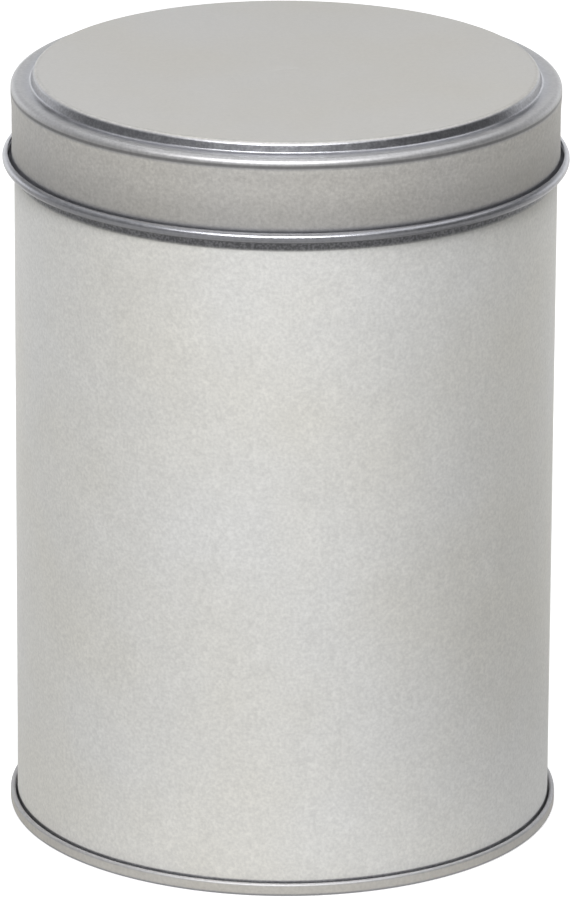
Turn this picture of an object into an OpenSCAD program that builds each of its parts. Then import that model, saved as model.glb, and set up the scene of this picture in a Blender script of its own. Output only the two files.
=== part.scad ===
// Round slip-lid tin of thin tinplate, for pouring candles.
// Three sheet-metal pieces and one sealing ring:
//   body_shell    straight cylinder, welded side seam, mouth edge rolled inward,
//                 foot edge turned out and up into the seam
//   bottom_end    stamped disc, countersunk, double seamed onto the body
//   seam_compound sealing ring trapped in the fold of the seam
//   lid           stamped slip lid with a raised panel and a rolled hem
// Origin: centre of the foot, on the plane that the tin stands on. +Z is up.

/* [Body] */
// Outside radius of the straight wall
body_r = 42; // [38:0.5:50]
// Height of the body from the foot to the top of the rolled mouth
body_h = 118; // [70:0.5:160]
// Thickness of the tinplate
sheet = 0.23; // [0.2:0.01:0.26]
// Outside radius of the roll around the mouth
mouth_roll = 0.9; // [0.7:0.05:1.2]
// Width of the welded lap down the back
weld_w = 1.2; // [0.8:0.1:2]
// How far the weld stands proud of the wall on each side
weld_proud = 0.07; // [0.04:0.01:0.1]

/* [Bottom end] */
// Height of the double seam around the foot
seam_h = 2; // [1.8:0.05:2.6]
// How far the seam stands out from the wall
seam_out = 1.1; // [1.08:0.02:1.4]
// Depth of the recess under the tin
countersink = 3; // [2.6:0.1:4]
// Step from the outer ring of the end to its middle
end_step = 0.6; // [0.4:0.1:0.8]
// Radius where the step of the end starts
end_step_r = 37; // [33:0.5:37.5]
// Radius of the small bead pressed in the middle of the end
end_bead_r = 24; // [12:1:28]

/* [Lid] */
// Gap between the wall and the waist of the skirt, on each side
lid_gap = 0.15; // [0.13:0.01:0.3]
// How far the rim swells out past the skirt's waist
rim_swell = 0.15; // [0.06:0.01:0.2]
// How far the skirt flares out again where the hem starts
hem_flare = 0.12; // [0.06:0.01:0.2]
// Depth of the skirt from the rim to the bottom of the rolled hem
lid_depth = 12.9; // [9:0.1:20]
// Outside radius of the rolled hem's section
hem_roll = 0.79; // [0.7:0.01:0.95]
// Radius of the rim between skirt and ledge
rim_round = 1; // [0.7:0.05:1.4]
// Height of the raised panel above the ledge
panel_rise = 1.64; // [1.4:0.02:2.2]
// Radius of the flat part of the raised panel
panel_r = 38.33; // [34:0.1:38.4]
// Rounding along the panel's edge
panel_round = 0.8; // [0.6:0.05:1]
// Fillet at the foot of the panel's riser
panel_fillet = 0.4; // [0.4:0.05:0.7]
// Lean of the riser from vertical, in degrees
riser_lean = 19; // [5:1:20]

/* [Hidden] */
$fn = 180;

t = sheet;
// seam layers, counted outward from the wall
end_out_r = body_r + seam_out;            // outer face of the seam
fold_r = 0.4;                             // half width of the end's fold
hook_mid = end_out_r - fold_r;            // middle of the fold, and of the body hook in it
turn_in = body_r - t;                     // inner face of the wall
turn_rad = (hook_mid + t/2 - turn_in)/2;  // outside radius of the body's turn
turn_c = turn_in + turn_rad;
layer_gap = 0.04;
turn_z = t + layer_gap + turn_rad;
hook_top = seam_h - fold_r - 0.15;
cover_hook_z = turn_z + 0.2;
corner = 0.45;                            // rounding at the foot of the seam
chuck_out = turn_in - layer_gap;          // outer face of the end's inner wall
chuck_in = chuck_out - t;
sink_round = 0.75;                        // outside radius at the top of the recess
mid_z = countersink - end_step;           // upper face of the end's middle
soft = 0.5;                               // bend radius of the steps in the end
bead_top = 0.8;                           // bend radius of the bead's crest
step_run = 2*soft*sin(45) + end_step - 2*soft*(1 - cos(45));
bead_half = (soft + bead_top)*sin(45);

// lid levels
seat = 0.04;                              // gap between ledge and mouth
ledge_z = body_h + seat + t;
panel_z = ledge_z + panel_rise;
lid_in = body_r + lid_gap;
lid_mid = lid_in + t/2;                   // middle of the sheet at the skirt's waist
hem_mid = hem_roll - t/2;
hem_z = ledge_z - lid_depth + hem_roll;
hem_c = lid_in + hem_flare + hem_roll;
rim_mid = lid_mid + rim_swell;
rim_c = rim_mid + t/2 - rim_round;
swell_h = 3.2;                            // height over which the rim blends into the waist
swell_top = ledge_z - rim_round - 0.4;
swell_turn = 2*atan(rim_swell/swell_h);
swell_rad = swell_h/2/sin(swell_turn);
flare_h = 3;                              // height of the flare above the hem
flare_turn = 2*atan(hem_flare/flare_h);
flare_rad = flare_h/sin(flare_turn);
riser_fall = panel_rise - (panel_round + panel_fillet)*(1 - sin(riser_lean));
fillet_c = panel_r + (panel_round + panel_fillet)*cos(riser_lean)
         + riser_fall*tan(riser_lean);

// A piece of folded sheet is given by its middle line: a list of bends
// [centre r, centre z, middle radius, start angle, end angle], in the order the
// line runs, joined by straight stretches. Falling angles turn right.
// A radius of 0 is a plain end, and its angle is the direction of its left side.
function bend_dir(b) = b[4] > b[3] ? -1 : 1;
function bend_points(b, side) = let (n = max(1, ceil(abs(b[4] - b[3])/7.5)),
                                     r = b[2] + side*bend_dir(b)*t/2)
    [for (i = [0:n]) let (a = b[3] + (b[4] - b[3])*i/n)
        if (b[2] > 0 || i == 0) [max(0, b[0] + r*cos(a)), b[1] + r*sin(a)]];
function reversed(v) = [for (i = [len(v) - 1:-1:0]) v[i]];
function sheet_outline(bends) = concat(
    [for (b = bends) each bend_points(b, 1)],
    reversed([for (b = bends) each bend_points(b, -1)]));

module spun_sheet(bends) {
    rotate_extrude() polygon(sheet_outline(bends));
}

body_bends = [
    [hook_mid, hook_top, 0, 0, 0],                                        // tip of the body hook
    [turn_c, turn_z, turn_rad - t/2, 0, -180],                            // foot, turned up into the seam
    [body_r - mouth_roll, body_h - mouth_roll, mouth_roll - t/2, 0, 270]  // mouth, rolled inward
];

end_bends = [
    [end_out_r - 2*fold_r + t/2, cover_hook_z, 0, 180, 180],                              // tip of the cover hook
    [hook_mid, seam_h - fold_r, fold_r - t/2, 180, 0],                                    // fold over the body hook
    [end_out_r - corner, corner, corner - t/2, 0, -90],                                   // outer foot
    [chuck_in + corner, corner, corner - t/2, -90, -180],                                 // inner foot
    [chuck_out - sink_round, countersink - sink_round, sink_round - t/2, 0, 90],          // top of the recess
    [end_step_r, countersink - t/2 - soft, soft, 90, 135],                                // step to the middle
    [end_step_r - step_run, mid_z - t/2 + soft, soft, 315, 270],
    [end_bead_r + bead_half, mid_z - t/2 + soft, soft, 270, 225],                         // pressed bead
    [end_bead_r, mid_z - t/2 + soft - bead_half, bead_top, 45, 135],
    [end_bead_r - bead_half, mid_z - t/2 + soft, soft, 315, 270],
    [0, mid_z - t/2, 0, 270, 270]
];

lid_bends = [
    [0, panel_z - t/2, 0, 90, 90],                                                        // raised panel
    [panel_r, panel_z - panel_round, panel_round - t/2, 90, riser_lean],                  // its edge
    [fillet_c, ledge_z + panel_fillet, panel_fillet + t/2, 180 + riser_lean, 270],        // foot of the riser
    [rim_c, ledge_z - rim_round, rim_round - t/2, 90, 0],                                 // rim
    [rim_mid - swell_rad, swell_top, swell_rad, 0, 0.4 - swell_turn],                     // its swell
    [lid_mid + swell_rad, swell_top - swell_h, swell_rad, 180.4 - swell_turn, 180],       // waist of the skirt
    [hem_c + (flare_rad - hem_mid)*cos(flare_turn),
     hem_z + (flare_rad - hem_mid)*sin(flare_turn), flare_rad, 180, 180 + flare_turn],    // flare to the hem
    [hem_c, hem_z, hem_mid, 185 + flare_turn, 450]                                        // hem, rolled out and up
];

// cylinder with its mouth and foot, and the welded lap down the back
module body_shell() {
    a = weld_w/2/body_r*180/PI;
    color([0.78, 0.78, 0.76]) union() {
        spun_sheet(body_bends);
        rotate([0, 0, 90 - a]) rotate_extrude(angle = 2*a)
            translate([body_r - t - weld_proud, countersink + 0.6])
                square([t + 2*weld_proud, body_h - 2*mouth_roll - 1.1 - countersink]);
    }
}

module bottom_end() {
    color([0.74, 0.73, 0.71]) spun_sheet(end_bends);
}

// ring of sealing compound that fills the fold above the tip of the body hook
module seam_compound() {
    r = fold_r - t - 0.01;
    color([0.35, 0.36, 0.33]) rotate_extrude() polygon(concat(
        [[hook_mid - r, hook_top + 0.01], [hook_mid + r, hook_top + 0.01]],
        [for (a = [0:15:180]) [hook_mid + r*cos(a), seam_h - fold_r + r*sin(a)]]));
}

module lid() {
    color([0.72, 0.71, 0.69]) spun_sheet(lid_bends);
}

body_shell();
bottom_end();
seam_compound();
lid();
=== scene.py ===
import math

import bpy
from mathutils import Matrix, Vector


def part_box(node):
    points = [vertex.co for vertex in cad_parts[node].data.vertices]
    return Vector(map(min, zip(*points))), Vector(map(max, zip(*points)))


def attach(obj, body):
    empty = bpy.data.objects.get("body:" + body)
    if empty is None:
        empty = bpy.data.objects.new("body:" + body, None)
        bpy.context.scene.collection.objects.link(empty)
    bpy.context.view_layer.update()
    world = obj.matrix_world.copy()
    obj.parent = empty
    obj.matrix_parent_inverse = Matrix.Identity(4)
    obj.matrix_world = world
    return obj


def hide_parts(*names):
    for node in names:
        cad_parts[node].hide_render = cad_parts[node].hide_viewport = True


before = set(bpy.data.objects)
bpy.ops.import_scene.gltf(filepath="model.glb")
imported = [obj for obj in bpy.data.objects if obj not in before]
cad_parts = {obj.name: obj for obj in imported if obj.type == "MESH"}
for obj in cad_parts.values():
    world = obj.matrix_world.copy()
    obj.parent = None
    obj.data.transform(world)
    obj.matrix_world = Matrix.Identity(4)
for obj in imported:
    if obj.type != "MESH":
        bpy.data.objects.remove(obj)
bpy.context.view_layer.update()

# ---------------------------------------------------------------- dimensions
# Everything is in millimetres here and is scaled to metres as the meshes are made.
# The levels come from the CAD boxes, and the folded sheet repeats the CAD's bends.
MM = 0.001


def mm_box(node):
    lo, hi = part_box(node)
    return [c / MM for c in lo], [c / MM for c in hi]


_, end_hi = mm_box("bottom_end")
_, shell_hi = mm_box("body_shell")
_, lid_hi = mm_box("lid")

T = 0.23                                  # tinplate
BODY_R = 42.0
MOUTH_Z = shell_hi[2]
PANEL_Z = lid_hi[2]
SINK_Z = end_hi[2]
MOUTH_ROLL = 0.9
SEAM_H = 2.0
END_R = BODY_R + 1.1
FOLD = 0.4
HOOK = END_R - FOLD
TURN_IN = BODY_R - T
TURN = (HOOK + T / 2 - TURN_IN) / 2
TURN_C = TURN_IN + TURN
TURN_Z = T + 0.04 + TURN
HOOK_TOP = SEAM_H - FOLD - 0.15
CORNER = 0.45
CHUCK_OUT = TURN_IN - 0.04
CHUCK_IN = CHUCK_OUT - T
SINK_ROUND = 0.75
MID_Z = SINK_Z - 0.6
SOFT = 0.5
BEAD = 0.8
BEAD_R = 24.0
STEP_R = 37.0
S45 = math.sin(math.radians(45))
STEP_RUN = 2 * SOFT * S45 + 0.6 - 2 * SOFT * (1 - S45)
BEAD_HALF = (SOFT + BEAD) * S45

RISE = 1.64
LEDGE_Z = PANEL_Z - RISE
LID_IN = BODY_R + 0.15
LID_MID = LID_IN + T / 2
LID_OUT = LID_IN + T
SWELL = 0.15
FLARE = 0.12
HEM = 0.79
HEM_MID = HEM - T / 2
HEM_Z = LEDGE_Z - 12.9 + HEM
HEM_C = LID_IN + FLARE + HEM
RIM = 1.0
RIM_MID = LID_MID + SWELL
RIM_C = RIM_MID + T / 2 - RIM
SWELL_H = 3.2
SWELL_TOP = LEDGE_Z - RIM - 0.4
SWELL_TURN = 2 * math.degrees(math.atan(SWELL / SWELL_H))
SWELL_RAD = SWELL_H / 2 / math.sin(math.radians(SWELL_TURN))
FLARE_TURN = 2 * math.degrees(math.atan(FLARE / 3.0))
FLARE_RAD = 3.0 / math.sin(math.radians(FLARE_TURN))
PANEL_R = 38.33
PANEL_ROUND = 0.8
FILLET = 0.4
LEAN = 19.0
_l = math.radians(LEAN)
FILLET_C = (PANEL_R + (PANEL_ROUND + FILLET) * math.cos(_l)
            + (RISE - (PANEL_ROUND + FILLET) * (1 - math.sin(_l))) * math.tan(_l))
WELD_HALF = math.degrees(0.6 / BODY_R)


# ------------------------------------------------------------------- profile
def bend(cr, cz, mid, a0, a1, step=5.0):
    """Points on both faces of the sheet round one bend. Falling angles turn right."""
    n = max(1, math.ceil(abs(a1 - a0) / step)) if mid > 0 else 0
    turn = -1 if a1 > a0 else 1
    out = []
    for i in range(n + 1):
        a = math.radians(a0 + (a1 - a0) * i / max(n, 1))
        c, s = math.cos(a), math.sin(a)
        pair = []
        for side in (1, -1):
            r = mid + side * turn * T / 2
            pair.append((max(0.0, cr + r * c), cz + r * s))
        out.append(pair)
    return out


def sheet(bends, gap=4.0, hold=0.07):
    """Pairs of face points along the whole sheet, with the straight runs divided and a ring held close to each bend."""
    pairs = []
    for b in bends:
        new = bend(*b)
        if pairs:
            p, q = pairs[-1], new[0]
            length = math.dist(p[0], q[0])
            if length > 3 * hold:
                ts = [hold / length]
                n = max(1, round((length - 2 * hold) / gap))
                ts += [(hold + (length - 2 * hold) * k / n) / length for k in range(1, n)]
                ts.append(1 - hold / length)
                for t in ts:
                    pairs.append([tuple(p[k][j] + (q[k][j] - p[k][j]) * t for j in (0, 1)) for k in (0, 1)])
        pairs += new
    return pairs


def spin(name, loop, angles, closed, shift=None):
    """A surface of revolution with quads, and fans only at the axis. loop is the section in order; shift(r, z, angle) gives small changes of radius and height."""
    verts, faces, rows = [], [], []
    n = len(angles)
    for r, z in loop:
        if r < 1e-6:
            rows.append([len(verts)])
            verts.append((0.0, 0.0, z * MM))
            continue
        rows.append(list(range(len(verts), len(verts) + n)))
        for a in angles:
            dr, dz = shift(r, z, a) if shift else (0.0, 0.0)
            t = math.radians(a)
            verts.append(((r + dr) * math.cos(t) * MM, (r + dr) * math.sin(t) * MM, (z + dz) * MM))
    count = len(rows)
    for i in range(count if closed else count - 1):
        p, q = rows[i], rows[(i + 1) % count]
        if len(p) == 1 and len(q) == 1:
            continue
        for k in range(n):
            j = (k + 1) % n
            if len(p) == 1:
                faces.append((p[0], q[k], q[j]))
            elif len(q) == 1:
                faces.append((p[k], q[0], p[j]))
            else:
                faces.append((p[k], q[k], q[j], p[j]))
    mesh = bpy.data.meshes.new(name)
    mesh.from_pydata(verts, [], faces)
    mesh.validate()
    import bmesh
    bm = bmesh.new()
    bm.from_mesh(mesh)
    bmesh.ops.recalc_face_normals(bm, faces=bm.faces)
    bm.to_mesh(mesh)
    bm.free()
    for p in mesh.polygons:
        p.use_smooth = True
    o = bpy.data.objects.new(name, mesh)
    bpy.context.scene.collection.objects.link(o)
    return o


def loop_of(pairs):
    return [p[0] for p in pairs] + [p[1] for p in reversed(pairs)]


def crisp(o, degrees=40):
    """Keeps the cut edges of the sheet sharp and everything else smooth."""
    import bmesh
    bm = bmesh.new()
    bm.from_mesh(o.data)
    for e in bm.edges:
        if len(e.link_faces) == 2 and e.calc_face_angle(0) > math.radians(degrees):
            e.smooth = False
    bm.to_mesh(o.data)
    bm.free()


def wave(a, *terms):
    return sum(k * math.sin(math.radians(n * a + p)) for n, k, p in terms)


# --------------------------------------------------------------------- set-up
# Patches of light on the studio's walls and on the floor. Azimuth 0 is the camera's
# side and grows to the right. A patch is symmetric about 180 if it starts past 90.
WORLD_BASE = 0.03
WALLS = [            # azimuth from, to, elevation from, to, value
    (-45, 45, 0, 15, 0.30),
    (-90, -45, 0, 45, 0.12),
    (-135, -90, -5, 20, 0.12),
    (-135, -90, 20, 45, 0.18),
    (-135, -45, 45, 78, 0.55),
    (45, 135, 45, 78, 1.25),
    (120, 240, -5, 20, 1.45),
    (135, 225, 45, 75, 1.45),
]
FLOOR = [            # azimuth from, to, distance from, to (m), value
    (-50, 50, 0.040, 0.080, 0.50),
    (50, 130, 0.040, 0.080, 0.42),
    (-130, -50, 0.040, 0.080, 0.42),
    (-45, 45, 0.080, 0.160, 0.30),
    (-45, 25, 0.160, 3.0, 0.38),
    (25, 105, 0.120, 3.0, 0.30),
    (-110, -45, 0.080, 3.0, 0.38),
    (-135, -110, 0.080, 3.0, 0.45),
    (105, 135, 0.080, 3.0, 0.62),
    (135, 225, 0.040, 3.0, 1.1),
    (-181, 181, -0.020, 0.040, 0.44),
]
LAMPS = [            # name, azimuth, elevation, distance, size, radiance, colour
    ("key", -10, 46.5, 1.2, (0.45, 0.10), 51.0, (1.0, 1.0, 1.0)),
    ("key_left", -32, 46.5, 1.2, (0.45, 0.10), 18.0, (1.0, 1.0, 1.0)),
    ("key_right", 12, 46.5, 1.2, (0.45, 0.10), 30.0, (1.0, 1.0, 1.0)),
]

# -------------------------------------------------------------------- meshes
EVEN = [360.0 * k / 288 for k in range(288)]

body_bends = [
    (HOOK, HOOK_TOP, 0, 0, 0),
    (TURN_C, TURN_Z, TURN - T / 2, 0, -180, 12),
    (BODY_R - MOUTH_ROLL, MOUTH_Z - MOUTH_ROLL, MOUTH_ROLL - T / 2, 0, 270, 7.5),
]
end_bends = [
    (END_R - 2 * FOLD + T / 2, TURN_Z + 0.2, 0, 180, 180),
    (HOOK, SEAM_H - FOLD, FOLD - T / 2, 180, 0, 7.5),
    (END_R - CORNER, CORNER, CORNER - T / 2, 0, -90, 7.5),
    (CHUCK_IN + CORNER, CORNER, CORNER - T / 2, -90, -180, 9),
    (CHUCK_OUT - SINK_ROUND, SINK_Z - SINK_ROUND, SINK_ROUND - T / 2, 0, 90, 9),
    (STEP_R, SINK_Z - T / 2 - SOFT, SOFT, 90, 135, 7.5),
    (STEP_R - STEP_RUN, MID_Z - T / 2 + SOFT, SOFT, 315, 270, 7.5),
    (BEAD_R + BEAD_HALF, MID_Z - T / 2 + SOFT, SOFT, 270, 225, 7.5),
    (BEAD_R, MID_Z - T / 2 + SOFT - BEAD_HALF, BEAD, 45, 135, 7.5),
    (BEAD_R - BEAD_HALF, MID_Z - T / 2 + SOFT, SOFT, 315, 270, 7.5),
    (0, MID_Z - T / 2, 0, 270, 270),
]
lid_bends = [
    (0, PANEL_Z - T / 2, 0, 90, 90),
    (PANEL_R, PANEL_Z - PANEL_ROUND, PANEL_ROUND - T / 2, 90, LEAN, 5),
    (FILLET_C, LEDGE_Z + FILLET, FILLET + T / 2, 180 + LEAN, 270, 5),
    (RIM_C, LEDGE_Z - RIM, RIM - T / 2, 90, 0, 5),
    (RIM_MID - SWELL_RAD, SWELL_TOP, SWELL_RAD, 0, 0.4 - SWELL_TURN, 1),
    (LID_MID + SWELL_RAD, SWELL_TOP - SWELL_H, SWELL_RAD, 180.4 - SWELL_TURN, 180, 1),
    (HEM_C + (FLARE_RAD - HEM_MID) * math.cos(math.radians(FLARE_TURN)),
     HEM_Z + (FLARE_RAD - HEM_MID) * math.sin(math.radians(FLARE_TURN)), FLARE_RAD, 180, 180 + FLARE_TURN, 0.8),
    (HEM_C, HEM_Z, HEM_MID, 185 + FLARE_TURN, 450, 6),
]

# Angles for the body: even all round, with extra columns at the weld on +Y.
weld = [90 + s * (WELD_HALF + d) for s in (-1, 1) for d in (-0.22, -0.07, 0.07, 0.22)]
body_angles = sorted([a for a in EVEN if abs(a - 90) > WELD_HALF + 0.4] + weld + [90.0, 89.6, 90.4])


def body_shift(r, z, a):
    d = abs(a - 90)
    top = MOUTH_Z - 2 * MOUTH_ROLL - 0.5
    w = 0.0
    if SINK_Z + 0.5 < z < top and abs(r - BODY_R) < T + 0.05:
        e = (WELD_HALF + 0.22 - d) / 0.3
        w = max(0.0, min(1.0, e))
        w = w * w * (3 - 2 * w)
        w *= min(1.0, (z - SINK_Z - 0.5) / 0.5, (top - z) / 0.5)
        out = 1 if r > BODY_R - T / 2 else -1
        # the wall isn't quite true: a few hundredths of a millimetre, as thin sheet is
        fade = min(1.0, (z - SINK_Z) / 15, (MOUTH_Z - z) / 15)
        dr = 0.012 * fade * wave(a, (3, 1.0, 20 + z), (5, 0.6, 80 - 1.7 * z), (8, 0.35, 200 + 2.3 * z))
        return out * 0.07 * w + dr, 0.0
    return 0.0, 0.0


def lid_shift(r, z, a):
    if r < PANEL_R - 1:
        f = min(1.0, (PANEL_R - 1 - r) / 8)
        return 0.0, 0.02 * f * (wave(a, (2, 0.6, 30 + 3 * r), (3, 0.5, 140 - 2 * r), (5, 0.3 * r / PANEL_R, 10)) - 1.4)
    return 0.0, 0.0


body = spin("tin_body", loop_of(sheet(body_bends)), body_angles, True, body_shift)
bottom = spin("tin_bottom", loop_of(sheet(end_bends, 3.0)), EVEN, False)
lid = spin("tin_lid", loop_of(sheet(lid_bends, 3.0)), EVEN, False, lid_shift)

rs = FOLD - T - 0.01
seal_loop = [(HOOK - rs, HOOK_TOP + 0.01), (HOOK + rs, HOOK_TOP + 0.01)] + [
    (HOOK + rs * math.cos(math.radians(a)), SEAM_H - FOLD + rs * math.sin(math.radians(a))) for a in range(0, 181, 15)]
seal = spin("seam_seal", seal_loop, [360.0 * k / 144 for k in range(144)], True)
for o in (body, bottom, lid, seal):
    crisp(o)


# ----------------------------------------------------------------- materials
class Nodes:
    def __init__(self, name, owner=None):
        self.mat = owner or bpy.data.materials.new(name)
        self.mat.use_nodes = True
        self.t = self.mat.node_tree
        self.b = self.t.nodes.get("Principled BSDF")

    def add(self, kind, **kw):
        n = self.t.nodes.new(kind)
        for k, v in kw.items():
            setattr(n, k, v)
        return n

    def link(self, a, b):
        self.t.links.new(a, b)

    def coords(self, scale=(1, 1, 1)):
        tc = self.add("ShaderNodeTexCoord")
        m = self.add("ShaderNodeMapping")
        m.inputs["Scale"].default_value = scale
        self.link(tc.outputs["Object"], m.inputs["Vector"])
        return m.outputs["Vector"]

    def noise(self, vec, scale, detail=2.0, rough=0.5, distort=0.0):
        n = self.add("ShaderNodeTexNoise")
        n.inputs["Scale"].default_value = scale
        n.inputs["Detail"].default_value = detail
        n.inputs["Roughness"].default_value = rough
        n.inputs["Distortion"].default_value = distort
        self.link(vec, n.inputs["Vector"])
        return n.outputs["Fac"]

    def ramp(self, fac, stops):
        r = self.add("ShaderNodeValToRGB")
        e = r.color_ramp.elements
        while len(e) < len(stops):
            e.new(0.5)
        for s, (pos, col) in zip(e, stops):
            s.position = pos
            s.color = (*col, 1) if isinstance(col, tuple) else (col, col, col, 1)
        self.link(fac, r.inputs["Fac"])
        return r.outputs["Color"]

    def mix(self, fac, a, b, mode="MIX"):
        m = self.add("ShaderNodeMix", data_type="RGBA", blend_type=mode)
        for i, v in ((0, fac), (6, a), (7, b)):
            if isinstance(v, (int, float)):
                m.inputs[i].default_value = (v, v, v, 1) if i else v
            elif isinstance(v, tuple):
                m.inputs[i].default_value = (*v, 1)
            else:
                self.link(v, m.inputs[i])
        return m.outputs[2]

    def math(self, op, a, b=0.0, c=0.0, clamp=False):
        m = self.add("ShaderNodeMath", operation=op, use_clamp=clamp)
        for s, v in zip(m.inputs, (a, b, c)):
            if isinstance(v, (int, float)):
                s.default_value = v
            else:
                self.link(v, s)
        return m.outputs[0]

    def range(self, v, a, b, c=0.0, d=1.0):
        m = self.add("ShaderNodeMapRange")
        m.clamp = True
        m.interpolation_type = "SMOOTHSTEP"
        for k, x in (("From Min", a), ("From Max", b), ("To Min", c), ("To Max", d)):
            m.inputs[k].default_value = x
        self.link(v, m.inputs["Value"])
        return m.outputs["Result"]

    def bump(self, height, distance, normal=None, strength=1.0):
        n = self.add("ShaderNodeBump")
        n.inputs["Strength"].default_value = strength
        n.inputs["Distance"].default_value = distance
        self.link(height, n.inputs["Height"])
        if normal is not None:
            self.link(normal, n.inputs["Normal"])
        return n.outputs["Normal"]

    def position(self):
        tc = self.add("ShaderNodeTexCoord")
        s = self.add("ShaderNodeSeparateXYZ")
        self.link(tc.outputs["Object"], s.inputs[0])
        x, y, z = s.outputs
        r = self.math("SQRT", self.math("ADD", self.math("MULTIPLY", x, x), self.math("MULTIPLY", y, y)))
        return x, y, z, r


def tinplate(name, tone, drawn_and_shade_tone, rough=0.72, drawn_rough=0.32, metal=0.75, drawn_metal=0.9, drawn_and_shade=None, shade=None, speckled_shade=None, calm=None, dim=None, grain=1.0, weld_stripe=False):
    """Stone-finish tinplate: matte and speckled where the sheet is flat, darker and smoother where a tool drew it round
    a bend. The speckle, dim and shade masks, and on the body the drawn mask, lay painted shade.
    """
    n = Nodes(name)
    b = n.b
    b.inputs["IOR"].default_value = 1.5
    x, y, z, r = n.position()
    v = n.coords()
    fine = n.noise(v, 3600, 2.0, 0.6)
    grit = n.noise(v, 2000, 2.0, 0.6)
    fleck = n.noise(v, 850, 2.0, 0.6)
    mottle = n.noise(v, 190, 4.0, 0.55, 0.4)
    cloud = n.noise(v, 34, 3.0, 0.5)
    # colour: tin over steel, a little warmer where the tin is thin
    warm = tuple(c * k for c, k in zip(tone, (0.99, 0.985, 0.965)))
    cool = tuple(min(1.0, c * k) for c, k in zip(tone, (1.0, 1.005, 1.015)))
    col = n.mix(n.ramp(cloud, [(0.35, 0.0), (0.65, 1.0)]), warm, cool)
    col = n.mix(1.0, col, n.ramp(mottle, [(0.3, 0.99), (0.7, 1.0)]), "MULTIPLY")
    much = 1.0 if calm is None else calm(n, x, y, z, r)
    col = n.mix(much, col, n.ramp(fleck, [(0.32, 1.0 - 0.028 * grain), (0.68, 1.0)]), "MULTIPLY")
    col = n.mix(much, col, n.ramp(grit, [(0.30, 1.0 - 0.115 * grain), (0.70, 1.0)]), "MULTIPLY")
    if shade is not None:
        col = n.mix(1.0, col, shade(n, x, y, z, r), "MULTIPLY")
    ro = n.math("MULTIPLY_ADD", n.math("SUBTRACT", grit, 0.5), 0.22, rough)
    ro = n.math("MULTIPLY_ADD", n.math("SUBTRACT", mottle, 0.5), 0.10, ro)
    # hairline rubs from handling
    line = n.math("ABSOLUTE", n.math("SUBTRACT", n.noise(v, 60, 1.0, 0.5, 3.5), 0.5))
    hair = n.range(line, 0.0, 0.0035, 1.0, 0.0)
    some = n.range(n.noise(v, 22, 2.0, 0.5), 0.58, 0.68)
    hair = n.math("MULTIPLY", hair, some)
    ro = n.math("SUBTRACT", ro, n.math("MULTIPLY", hair, 0.10))
    met = metal
    if drawn_and_shade is not None:
        mask = drawn_and_shade(n, x, y, z, r)
        patch = n.range(n.noise(v, 900, 2.0, 0.6), 0.36, 0.62, 0.90, 1.0)
        mask = n.math("MULTIPLY", mask, patch)
        dark = n.mix(1.0, drawn_and_shade_tone, n.ramp(grit, [(0.35, 0.88), (0.65, 1.0)]), "MULTIPLY")
        col = n.mix(mask, col, dark)
        smooth = n.math("MULTIPLY_ADD", n.math("SUBTRACT", fleck, 0.5), 0.12, drawn_rough)
        ro = n.math("ADD", n.math("MULTIPLY", ro, n.math("SUBTRACT", 1.0, mask)), n.math("MULTIPLY", smooth, mask))
        met = n.math("MULTIPLY_ADD", mask, drawn_metal - metal, metal)
    if speckled_shade is not None:
        # painted shade: dark with light grains left standing
        pits = n.range(n.noise(v, 2700, 1.0, 0.5), 0.36, 0.68, 0.42, 0.74)
        col = n.mix(speckled_shade(n, x, y, z, r), col, n.mix(1.0, col, n.ramp(pits, [(0.0, 0.0), (1.0, 1.0)]), "MULTIPLY"))
    # painted shade from the dim mask
    if dim is not None:
        col = n.mix(1.0, col, n.ramp(dim(n, x, y, z, r), [(0.0, 0.0), (1.0, 1.0)]), "MULTIPLY")
    if weld_stripe:
        # bare, heat-tinted stripe each side of the weld, on the +Y side
        ax = n.math("ABSOLUTE", x)
        back = n.range(y, 0.0, 0.002)
        tint = n.math("MULTIPLY", n.range(ax, 0.0012, 0.0034, 1.0, 0.0), back)
        core = n.math("MULTIPLY", n.range(ax, 0.00045, 0.00085, 1.0, 0.0), back)
        col = n.mix(n.math("MULTIPLY", tint, 0.55), col, (0.47, 0.44, 0.40))
        ripple = n.add("ShaderNodeTexWave", wave_type="BANDS", bands_direction="Z", wave_profile="SIN")
        ripple.inputs["Scale"].default_value = 160
        ripple.inputs["Distortion"].default_value = 1.2
        ripple.inputs["Detail"].default_value = 1.0
        n.link(v, ripple.inputs["Vector"])
        col = n.mix(n.math("MULTIPLY", core, 0.6), col, n.ramp(ripple.outputs["Fac"], [(0.2, (0.36, 0.37, 0.40)), (0.8, (0.55, 0.55, 0.56))]))
        ro = n.math("ADD", ro, n.math("MULTIPLY", tint, 0.06))
    ro = n.math("MINIMUM", n.math("MAXIMUM", ro, 0.14), 0.9)
    n.link(col, b.inputs["Base Color"])
    n.link(ro, b.inputs["Roughness"])
    if isinstance(met, float):
        b.inputs["Metallic"].default_value = met
    else:
        n.link(met, b.inputs["Metallic"])
    nor = n.bump(cloud, 0.00002)
    nor = n.bump(fleck, 0.000006, nor)
    nor = n.bump(grit, 0.000010, nor)
    nor = n.bump(fine, 0.000004, nor)
    if weld_stripe:
        h = n.math("MULTIPLY", ripple.outputs["Fac"], core)
        nor = n.bump(h, 0.00003, nor)
    n.link(nor, b.inputs["Normal"])
    return n.mat


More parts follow.
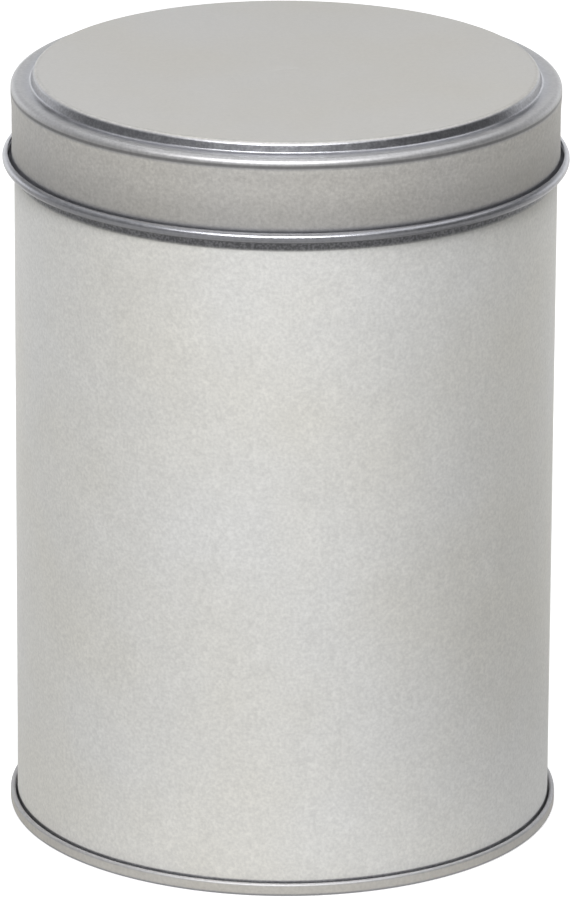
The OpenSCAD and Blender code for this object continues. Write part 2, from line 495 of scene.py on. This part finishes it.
def body_drawn_and_shade(n, x, y, z, r):
    """Mouth roll, drawn round its bend. Painted shadow on the wall just under the hem, going on above it, under the
    lid, as a weaker darker band of wear where the skirt slides. Painted shade in the crease over the seam.
    """
    mouth = n.range(z, (MOUTH_Z - 2.3) * MM, (MOUTH_Z - 1.6) * MM)
    # painted shadow under the hem; above it, under the lid, a weaker band of wear
    hem_shadow_and_wear = n.math("MULTIPLY", n.range(z, 0.10365, 0.10425), n.range(z, 0.1056, 0.1064, 1.0, 0.4))
    # painted shade in the crease over the seam
    crease = n.range(z, 0.00205, 0.00235, 0.95, 0.0)
    outside = n.range(r, 0.04188, 0.04194)
    return n.math("MAXIMUM", mouth, n.math("MULTIPLY", n.math("MAXIMUM", hem_shadow_and_wear, crease), outside))


def body_painted_shade(n, x, y, z, r):
    """Painted shadow: a dark speckled line round the wall just under the hem, and painted shade in the crease over the
    seam.
    """
    band = n.math("MULTIPLY", n.range(z, 0.10365, 0.10425), n.range(z, 0.1054, 0.1062, 1.0, 0.0))
    crease = n.range(z, 0.00205, 0.00230, 0.6, 0.0)
    return n.math("MULTIPLY", n.math("MAXIMUM", band, crease), n.range(r, 0.04188, 0.04194))


def end_drawn(n, x, y, z, r):
    fold = n.range(z, 0.00150, 0.00185, 0.0, 0.7)
    heel = n.range(z, 0.0002, 0.0006, 1.0, 0.0)
    return n.math("MULTIPLY", n.math("MAXIMUM", fold, heel), n.range(r, 0.0415, 0.0420))


def lid_drawn(n, x, y, z, r):
    riser = n.math("MULTIPLY", n.range(r, (PANEL_R + 0.35) * MM, (PANEL_R + 0.75) * MM),
                   n.range(r, (FILLET_C + 0.1) * MM, (RIM_C - 0.3) * MM, 1.0, 0.6))
    top = n.range(z, (LEDGE_Z - 1.9) * MM, (LEDGE_Z - 1.4) * MM)
    hem = n.math("MULTIPLY", n.range(r, (LID_IN + 0.2) * MM, (LID_IN + 0.3) * MM),
                 n.range(z, (HEM_Z + 0.75) * MM, (HEM_Z + 1.7) * MM, 1.0, 0.0))
    return n.math("MAXIMUM", n.math("MULTIPLY", riser, top), hem)


def lid_painted_riser_shade(n, x, y, z, r):
    # Painted shade: dark speckle on the riser of the panel.
    riser = n.math("MULTIPLY", n.range(r, (PANEL_R + 0.55) * MM, (PANEL_R + 0.75) * MM),
                   n.range(r, (FILLET_C - 0.4) * MM, (FILLET_C - 0.25) * MM, 1.0, 0.0))
    return n.math("MULTIPLY", riser, n.range(z, LEDGE_Z * MM, (LEDGE_Z + 0.05) * MM, 0.0, 0.6))


def lid_calm(n, x, y, z, r):
    """The panel is the least worked part and its grain is the finest."""
    return n.math("SUBTRACT", 1.0, n.math("MULTIPLY", n.range(r, (PANEL_R - 0.3) * MM, (PANEL_R + 0.3) * MM, 0.60, 0.0), 1.0))


def lid_painted_shade(n, x, y, z, r):
    """Painted shade under the hem and at the foot of the rim; the hem roll is a little darker too."""
    under = n.math("MULTIPLY", n.range(z, (HEM_Z - 0.64) * MM, (HEM_Z - 0.40) * MM, 0.68, 0.0),
                   n.range(r, (LID_IN + 0.3) * MM, (LID_IN + 0.4) * MM))
    hem = n.math("MULTIPLY", n.range(z, (HEM_Z + 0.8) * MM, (HEM_Z + 1.0) * MM, 0.03, 0.0),
                 n.range(r, (LID_IN + 0.5) * MM, (LID_IN + 0.6) * MM))
    foot = n.math("MULTIPLY", n.range(z, (LEDGE_Z - 1.55) * MM, (LEDGE_Z - 1.30) * MM),
                  n.range(z, (LEDGE_Z - 1.08) * MM, (LEDGE_Z - 0.86) * MM, 0.45, 0.0))
    foot = n.math("MULTIPLY", foot, n.range(r, (RIM_C + 0.5) * MM, (RIM_C + 0.7) * MM))
    return n.math("SUBTRACT", n.math("SUBTRACT", n.math("SUBTRACT", 1.0, under), hem), foot)


def lid_shade(n, x, y, z, r):
    """The skirt is darker towards the hem, and the top panel is darker as painted shade."""
    side = n.range(r, 0.0414, 0.0418)
    down = n.range(z, 0.1070, 0.1168, 0.78, 1.0)
    k = n.math("ADD", 1.0, n.math("MULTIPLY", n.math("SUBTRACT", down, 1.0), side))
    # painted shade: the top panel darker
    k = n.math("SUBTRACT", k, n.range(r, (PANEL_R + 0.1) * MM, (PANEL_R + 0.6) * MM, 0.175, 0.0))
    return n.ramp(k, [(0.0, 0.0), (1.0, 1.0)])


BODY_TONE = (0.96, 0.955, 0.935)
END_TONE = (0.75, 0.73, 0.70)
LID_TONE = (0.755, 0.74, 0.715)
# Tone of the metal drawn round the bends; on the body it also colours the painted shadow under the hem and the painted
# shade over the seam.
DRAWN_AND_SHADE_TONE = (0.455, 0.460, 0.495)
body.data.materials.append(tinplate("tin_body_plate", BODY_TONE, DRAWN_AND_SHADE_TONE, drawn_and_shade=body_drawn_and_shade, speckled_shade=body_painted_shade, weld_stripe=True))
bottom.data.materials.append(tinplate("tin_end_plate", END_TONE, DRAWN_AND_SHADE_TONE, rough=0.65, drawn_rough=0.56, drawn_and_shade=end_drawn))
lid.data.materials.append(tinplate("tin_lid_plate", LID_TONE, DRAWN_AND_SHADE_TONE, drawn_and_shade=lid_drawn, shade=lid_shade, speckled_shade=lid_painted_riser_shade, calm=lid_calm, dim=lid_painted_shade, grain=1.45))


def compound():
    n = Nodes("seam_compound_mat")
    v = n.coords()
    f = n.noise(v, 1800, 3.0, 0.6)
    n.link(n.ramp(f, [(0.3, (0.05, 0.055, 0.05)), (0.7, (0.11, 0.11, 0.10))]), n.b.inputs["Base Color"])
    n.link(n.math("MULTIPLY_ADD", f, 0.2, 0.55), n.b.inputs["Roughness"])
    n.link(n.bump(f, 0.00002), n.b.inputs["Normal"])
    return n.mat


seal.data.materials.append(compound())

for o, node, slot, rides in ((body, "body_shell", "body_tinplate", "tin"), (bottom, "bottom_end", "end_tinplate", "tin"),
                             (seal, "seam_compound", "seal", "tin"), (lid, "lid", "lid_tinplate", "lid")):
    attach(o, rides)
    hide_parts(node)

# --------------------------------------------------------------------- floor
S = bpy.context.scene


def plane(name, z, size=4.0):
    m = bpy.data.meshes.new(name)
    m.from_pydata([(-size, -size, 0), (size, -size, 0), (size, size, 0), (-size, size, 0)], [], [(0, 1, 2, 3)])
    o = bpy.data.objects.new(name, m)
    S.collection.objects.link(o)
    o.location.z = z
    return o


def patches(n, azimuth, height, rows, soft_a, soft_h, base):
    """Sum of soft-edged windows in azimuth (degrees) and in elevation or distance."""
    total = base
    behind = n.math("ABSOLUTE", azimuth)
    for a0, a1, h0, h1, value in rows:
        if a1 > 180:
            window = n.range(behind, a0 - soft_a, a0 + soft_a)
        else:
            off = n.math("ABSOLUTE", n.math("SUBTRACT", azimuth, (a0 + a1) / 2))
            window = n.range(off, (a1 - a0) / 2 + soft_a, (a1 - a0) / 2 - soft_a, 0.0, 1.0)
        up = n.math("ABSOLUTE", n.math("SUBTRACT", height, (h0 + h1) / 2))
        level = n.range(up, (h1 - h0) / 2 + soft_h, (h1 - h0) / 2 - soft_h, 0.0, 1.0)
        total = n.math("MULTIPLY_ADD", n.math("MULTIPLY", window, level), value, total)
    return total


# What the camera sees is white paper. What lights the tin from below is a dimmer
# grey board in the same place, as it is on a set where the paper is lit apart.
floor = plane("floor", -0.00004)
fm = Nodes("floor_paper")
fm.b.inputs["Roughness"].default_value = 0.9
fm.b.inputs["Specular IOR Level"].default_value = 0.1
fm.b.inputs["Emission Color"].default_value = (1, 1, 1, 1)
fm.b.inputs["Emission Strength"].default_value = 0.45
fm.link(fm.ramp(fm.noise(fm.coords(), 3.0, 3.0), [(0.3, 0.84), (0.7, 0.86)]), fm.b.inputs["Base Color"])
geo = fm.add("ShaderNodeNewGeometry")
clear = fm.add("ShaderNodeBsdfTransparent")
swap = fm.add("ShaderNodeMixShader")
out = fm.t.nodes["Material Output"]
fm.link(geo.outputs["Backfacing"], swap.inputs[0])
fm.link(fm.b.outputs[0], swap.inputs[1])
fm.link(clear.outputs[0], swap.inputs[2])
fm.link(swap.outputs[0], out.inputs["Surface"])
floor.data.materials.append(fm.mat)
floor.visible_diffuse = floor.visible_glossy = floor.visible_transmission = floor.visible_shadow = False
board = plane("board", -0.00006)
bm_ = Nodes("board_grey")
bm_.b.inputs["Roughness"].default_value = 0.9
bm_.b.inputs["Specular IOR Level"].default_value = 0.1
bm_.b.inputs["Base Color"].default_value = (0.06, 0.06, 0.06, 1)
bm_.b.inputs["Emission Color"].default_value = (1.0, 0.99, 0.96, 1)
px, py, _, pr = bm_.position()
paz = bm_.math("MULTIPLY", bm_.math("ARCTAN2", px, bm_.math("MULTIPLY", py, -1.0)), 180 / math.pi)
bm_.link(patches(bm_, paz, pr, FLOOR, 6.0, 0.006, 0.0), bm_.b.inputs["Emission Strength"])
board.data.materials.append(bm_.mat)
board.visible_camera = False

# --------------------------------------------------------------------- light
world = bpy.data.worlds.new("studio")
S.world = world
world.use_nodes = True
wn = Nodes("studio", world)
bg = wn.t.nodes["Background"]
sep = wn.add("ShaderNodeSeparateXYZ")
wn.link(wn.add("ShaderNodeTexCoord").outputs["Generated"], sep.inputs[0])
waz = wn.math("MULTIPLY", wn.math("ARCTAN2", sep.outputs[0], wn.math("MULTIPLY", sep.outputs[1], -1.0)), 180 / math.pi)
wel = wn.math("MULTIPLY", wn.math("ARCSINE", sep.outputs[2]), 180 / math.pi)
wn.link(patches(wn, waz, wel, WALLS, 8.0, 4.0, WORLD_BASE), bg.inputs["Strength"])
bg.inputs["Color"].default_value = (0.98, 0.99, 1.0, 1)


def toward(azimuth, elevation):
    a, e = math.radians(azimuth), math.radians(elevation)
    return Vector((math.sin(a) * math.cos(e), -math.cos(a) * math.cos(e), math.sin(e)))


def area(name, azimuth, elevation, distance, size, radiance, colour=(1, 1, 1), target=(0, 0, 0.06)):
    d = bpy.data.lights.new(name, "AREA")
    d.shape = "RECTANGLE"
    d.size, d.size_y = size
    d.energy = radiance * math.pi * size[0] * size[1]
    d.color = colour
    o = bpy.data.objects.new(name, d)
    S.collection.objects.link(o)
    away = toward(azimuth, elevation)
    o.location = Vector(target) + away * distance
    o.rotation_mode = "QUATERNION"
    o.rotation_quaternion = away.to_track_quat("Z", "Y")
    o.visible_camera = False
    return o


for args in LAMPS:
    area(*args)

# -------------------------------------------------------------------- camera
R0 = BODY_R * MM
cam_data = bpy.data.cameras.new("camera")
cam_data.sensor_width = 36.0
cam_data.lens = 8212.0 * 36.0 / 899.0
cam_data.clip_start, cam_data.clip_end = 0.05, 20.0
cam = bpy.data.objects.new("camera", cam_data)
S.collection.objects.link(cam)
pitch, roll = math.radians(19.04), math.radians(0.319)
fwd = Vector((0, math.cos(pitch), -math.sin(pitch)))
right = Vector((1, 0, 0))
up = right.cross(fwd)
r2 = right * math.cos(roll) + up * math.sin(roll)
u2 = up * math.cos(roll) - right * math.sin(roll)
m = Matrix((r2, u2, -fwd)).transposed().to_4x4()
m.translation = Vector((0.0024 * R0, -28.927 * R0, 11.362 * R0))
cam.matrix_world = m
S.camera = cam

S.view_settings.view_transform = "Standard"
S.view_settings.look = "None"
S.view_settings.exposure = 0.0
S.view_settings.gamma = 1.0
